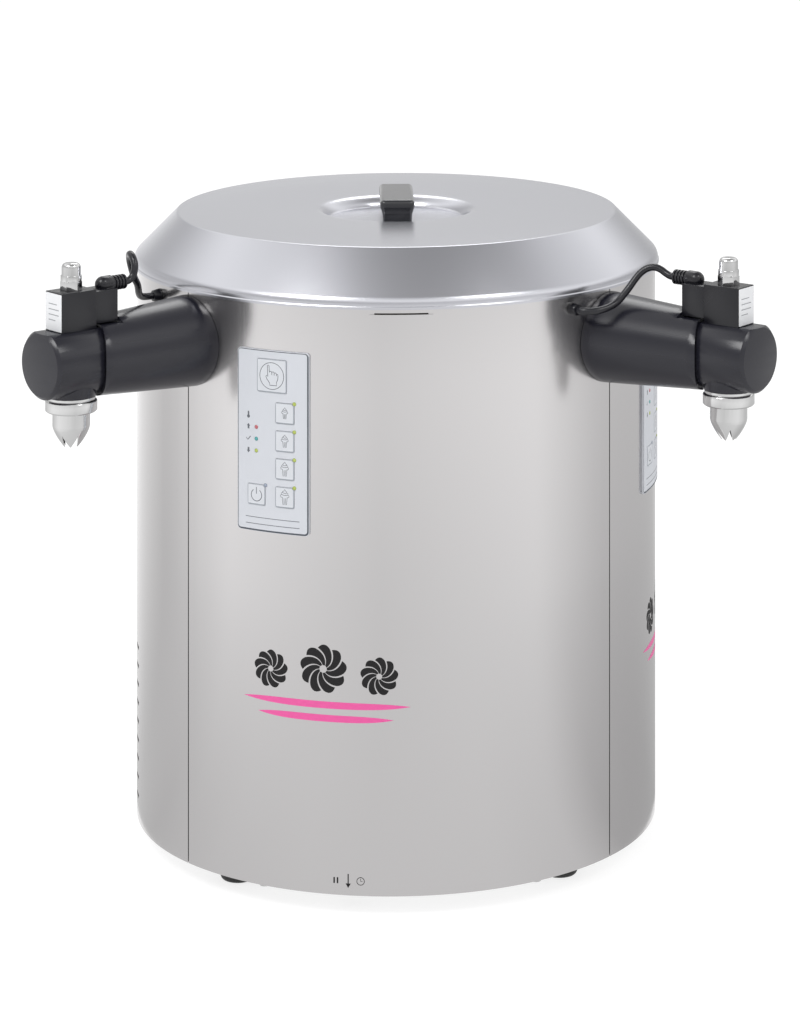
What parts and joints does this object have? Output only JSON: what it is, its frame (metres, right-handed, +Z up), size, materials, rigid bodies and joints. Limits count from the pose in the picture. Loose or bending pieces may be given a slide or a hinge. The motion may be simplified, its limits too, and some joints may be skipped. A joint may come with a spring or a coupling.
{
  "type": "cream whipper machine",
  "caption": "Round refrigerated cream machine in brushed steel with a lift-off lid, keypads and insulated dispensing arms with solenoid valves and star nozzles.",
  "frame": {"origin": "Middle of the underside of the overall box, on the standing surface. The casing axis stands 12.32 mm behind it, because the arms reach further forward than the lid reaches back.", "axes": "+Z up, the front with the arms towards -Y, +X to the viewer's right."},
  "size_m": [0.5704, 0.4506, 0.511],
  "materials": {
    "casing_steel": "brushed stainless sheet with soft reflections",
    "lid_steel": "satin stainless, turned along the rim",
    "plate_steel": "plain stainless plate",
    "tank_steel": "fine brushed stainless",
    "bright_steel": "bright nickel and chrome",
    "screw_steel": "zinc-plated",
    "motor_steel": "grey paint",
    "fin_aluminium": "bare fins",
    "copper": "bare copper tube",
    "black_enamel": "black enamel",
    "black_plastic": "fine-grained black moulding",
    "coil_black": "black encapsulation with a white label",
    "cable_black": "smooth black sheath",
    "rubber": "matte black rubber",
    "grey_plastic": "grey moulding",
    "white_plastic": "food-grade white moulding",
    "foam": "foamed insulation",
    "board_green": "lacquered board",
    "keypad_foil": "silver-blue printed foil",
    "key_foil": "printed foil over a key",
    "lamp_lens": "clear-tinted lens"
  },
  "bodies": {
    "machine": {"front_panel": "casing_steel", "side_panel": "casing_steel", "rear_shell": "casing_steel", "base_plate": "plate_steel", "cream_tank": "tank_steel", "feed_pipes": "tank_steel", "arm_tubes": "tank_steel", "rubber_feet": "rubber", "casing_screws": "screw_steel", "tank_insulation": "foam", "evaporator_tubes": "copper", "compressor": "black_enamel", "fan_motor": "black_enamel", "condenser": "fin_aluminium", "pump_housings": "grey_plastic", "pump_covers": "grey_plastic", "power_inlet": "black_plastic", "left_arm_sleeve": "black_plastic", "right_arm_sleeve": "black_plastic", "left_valve_head": "black_plastic", "right_valve_head": "black_plastic", "solenoid_coils": "coil_black", "plug_connectors": "coil_black", "lead_glands": "coil_black", "control_boards": "board_green", "keypad_plates": "keypad_foil", "left_lead": "cable_black", "right_lead": "cable_black", "status_lamps": "lamp_lens", "pump_motors": "motor_steel", "labyrinth_rods": "white_plastic", "armature_tubes": "bright_steel", "coil_nuts": "bright_steel", "outlet_necks": "bright_steel"},
    "lid": {"lid_shell": "lid_steel", "lid_liner": "white_plastic", "lid_gasket": "rubber", "lid_handle": "black_plastic"},
    "fan": {"fan_blade": "grey_plastic"},
    "pause_push": {"pause_button": "black_plastic"},
    "left_key_hand_push": {"left_key_hand": "key_foil"},
    "left_key_portion_1_push": {"left_key_portion_1": "key_foil"},
    "left_key_portion_2_push": {"left_key_portion_2": "key_foil"},
    "left_key_portion_3_push": {"left_key_portion_3": "key_foil"},
    "left_key_portion_4_push": {"left_key_portion_4": "key_foil"},
    "left_key_power_push": {"left_key_power": "key_foil"},
    "left_rotor": {"left_pump_rotor": "white_plastic"},
    "left_valve_plunger": {"left_plunger": "bright_steel"},
    "left_nozzle": {"left_star_nozzle": "bright_steel"},
    "left_nut": {"left_union_nut": "bright_steel"},
    "right_key_hand_push": {"right_key_hand": "key_foil"},
    "right_key_portion_1_push": {"right_key_portion_1": "key_foil"},
    "right_key_portion_2_push": {"right_key_portion_2": "key_foil"},
    "right_key_portion_3_push": {"right_key_portion_3": "key_foil"},
    "right_key_portion_4_push": {"right_key_portion_4": "key_foil"},
    "right_key_power_push": {"right_key_power": "key_foil"},
    "right_rotor": {"right_pump_rotor": "white_plastic"},
    "right_valve_plunger": {"right_plunger": "bright_steel"},
    "right_nozzle": {"right_star_nozzle": "bright_steel"},
    "right_nut": {"right_union_nut": "bright_steel"}
  },
  "joints": [
    {"name": "lid_lift", "type": "slide", "parent": "machine", "child": "lid", "axis": [0, 0, 1], "range_m": [0, 0.15]},
    {"name": "fan_spin", "type": "hinge", "parent": "machine", "child": "fan", "pos_m": [-0.13689, 0.03646, 0.08768], "axis": [-0.9848, 0.1736, 0], "continuous": true},
    {"name": "pause_press", "type": "slide", "parent": "machine", "child": "pause_push", "axis": [0, 0, 1], "range_m": [0, 0.002], "stiffness_N_per_m": 800},
    {"name": "left_key_hand_press", "type": "slide", "parent": "machine", "child": "left_key_hand_push", "axis": [0.4617, 0.887, 0], "range_m": [0, 0.0006], "stiffness_N_per_m": 1500},
    {"name": "left_key_portion_1_press", "type": "slide", "parent": "machine", "child": "left_key_portion_1_push", "axis": [0.4148, 0.9099, 0], "range_m": [0, 0.0006], "stiffness_N_per_m": 1500},
    {"name": "left_key_portion_2_press", "type": "slide", "parent": "machine", "child": "left_key_portion_2_push", "axis": [0.4148, 0.9099, 0], "range_m": [0, 0.0006], "stiffness_N_per_m": 1500},
    {"name": "left_key_portion_3_press", "type": "slide", "parent": "machine", "child": "left_key_portion_3_push", "axis": [0.4148, 0.9099, 0], "range_m": [0, 0.0006], "stiffness_N_per_m": 1500},
    {"name": "left_key_portion_4_press", "type": "slide", "parent": "machine", "child": "left_key_portion_4_push", "axis": [0.4148, 0.9099, 0], "range_m": [0, 0.0006], "stiffness_N_per_m": 1500},
    {"name": "left_key_power_press", "type": "slide", "parent": "machine", "child": "left_key_power_push", "axis": [0.5165, 0.8563, 0], "range_m": [0, 0.0006], "stiffness_N_per_m": 1500},
    {"name": "left_pump_spin", "type": "hinge", "parent": "machine", "child": "left_rotor", "pos_m": [-0.08545, -0.05688, 0.16], "axis": [0, 0, 1], "continuous": true},
    {"name": "left_valve_open", "type": "slide", "parent": "machine", "child": "left_valve_plunger", "axis": [0, 0, 1], "range_m": [0, 0.003], "stiffness_N_per_m": 600, "springref_m": -0.002},
    {"name": "left_nozzle_drop", "type": "slide", "parent": "machine", "child": "left_nozzle", "axis": [0, 0, -1], "range_m": [0, 0.0061]},
    {"name": "left_nut_turn", "type": "hinge", "parent": "left_nozzle", "child": "left_nut", "pos_m": [-0.2483, -0.18875, 0.386], "axis": [0, 0, -1], "range_deg": [0, 1080]},
    {"name": "right_key_hand_press", "type": "slide", "parent": "machine", "child": "right_key_hand_push", "axis": [-0.9636, 0.2672, 0], "range_m": [0, 0.0006], "stiffness_N_per_m": 1500},
    {"name": "right_key_portion_1_press", "type": "slide", "parent": "machine", "child": "right_key_portion_1_push", "axis": [-0.9763, 0.2165, 0], "range_m": [0, 0.0006], "stiffness_N_per_m": 1500},
    {"name": "right_key_portion_2_press", "type": "slide", "parent": "machine", "child": "right_key_portion_2_push", "axis": [-0.9763, 0.2165, 0], "range_m": [0, 0.0006], "stiffness_N_per_m": 1500},
    {"name": "right_key_portion_3_press", "type": "slide", "parent": "machine", "child": "right_key_portion_3_push", "axis": [-0.9763, 0.2165, 0], "range_m": [0, 0.0006], "stiffness_N_per_m": 1500},
    {"name": "right_key_portion_4_press", "type": "slide", "parent": "machine", "child": "right_key_portion_4_push", "axis": [-0.9763, 0.2165, 0], "range_m": [0, 0.0006], "stiffness_N_per_m": 1500},
    {"name": "right_key_power_press", "type": "slide", "parent": "machine", "child": "right_key_power_push", "axis": [-0.945, 0.3271, 0], "range_m": [0, 0.0006], "stiffness_N_per_m": 1500},
    {"name": "right_pump_spin", "type": "hinge", "parent": "machine", "child": "right_rotor", "pos_m": [0.08545, -0.05688, 0.16], "axis": [0, 0, 1], "continuous": true},
    {"name": "right_valve_open", "type": "slide", "parent": "machine", "child": "right_valve_plunger", "axis": [0, 0, 1], "range_m": [0, 0.003], "stiffness_N_per_m": 600, "springref_m": -0.002},
    {"name": "right_nozzle_drop", "type": "slide", "parent": "machine", "child": "right_nozzle", "axis": [0, 0, -1], "range_m": [0, 0.0061]},
    {"name": "right_nut_turn", "type": "hinge", "parent": "right_nozzle", "child": "right_nut", "pos_m": [0.2483, -0.18875, 0.386], "axis": [0, 0, -1], "range_deg": [0, 1080]}
  ],
  "couplings": [
    {"joint": "left_nozzle_drop", "follows": "left_nut_turn", "m_per_rad": 0.00031831},
    {"joint": "right_nozzle_drop", "follows": "right_nut_turn", "m_per_rad": 0.00031831}
  ]
}
